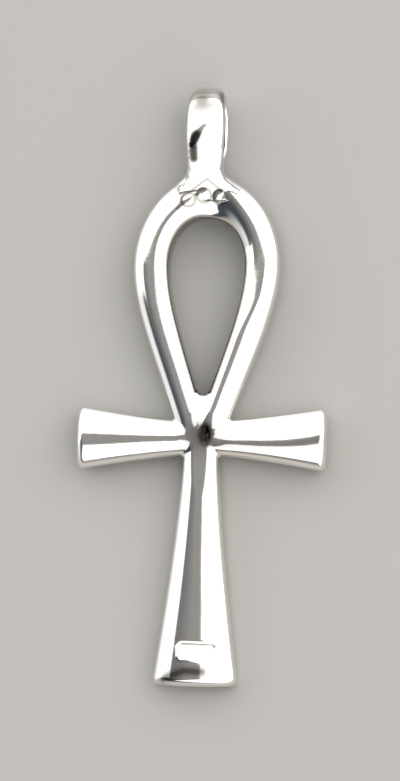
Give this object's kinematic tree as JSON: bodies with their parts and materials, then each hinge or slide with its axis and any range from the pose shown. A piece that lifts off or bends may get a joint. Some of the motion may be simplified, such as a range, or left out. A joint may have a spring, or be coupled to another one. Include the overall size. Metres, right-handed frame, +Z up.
{
  "type": "ankh pendant",
  "caption": "Domed silver ankh with a teardrop loop, flared arms and leg, flat back, and an oval bail soldered on edge to a neck.",
  "frame": {"origin": "bottom centre of the pendant's box, on the surface that it lies on", "axes": "+Z up out of the domed front, +Y along the pendant from the foot to the bail, +X to the right arm as seen from the front"},
  "size_m": [0.0188, 0.0452, 0.0043],
  "materials": {
    "silver": "hand-polished cast sterling silver"
  },
  "bodies": {
    "root": {"ankh": "silver"}
  },
  "joints": []
}
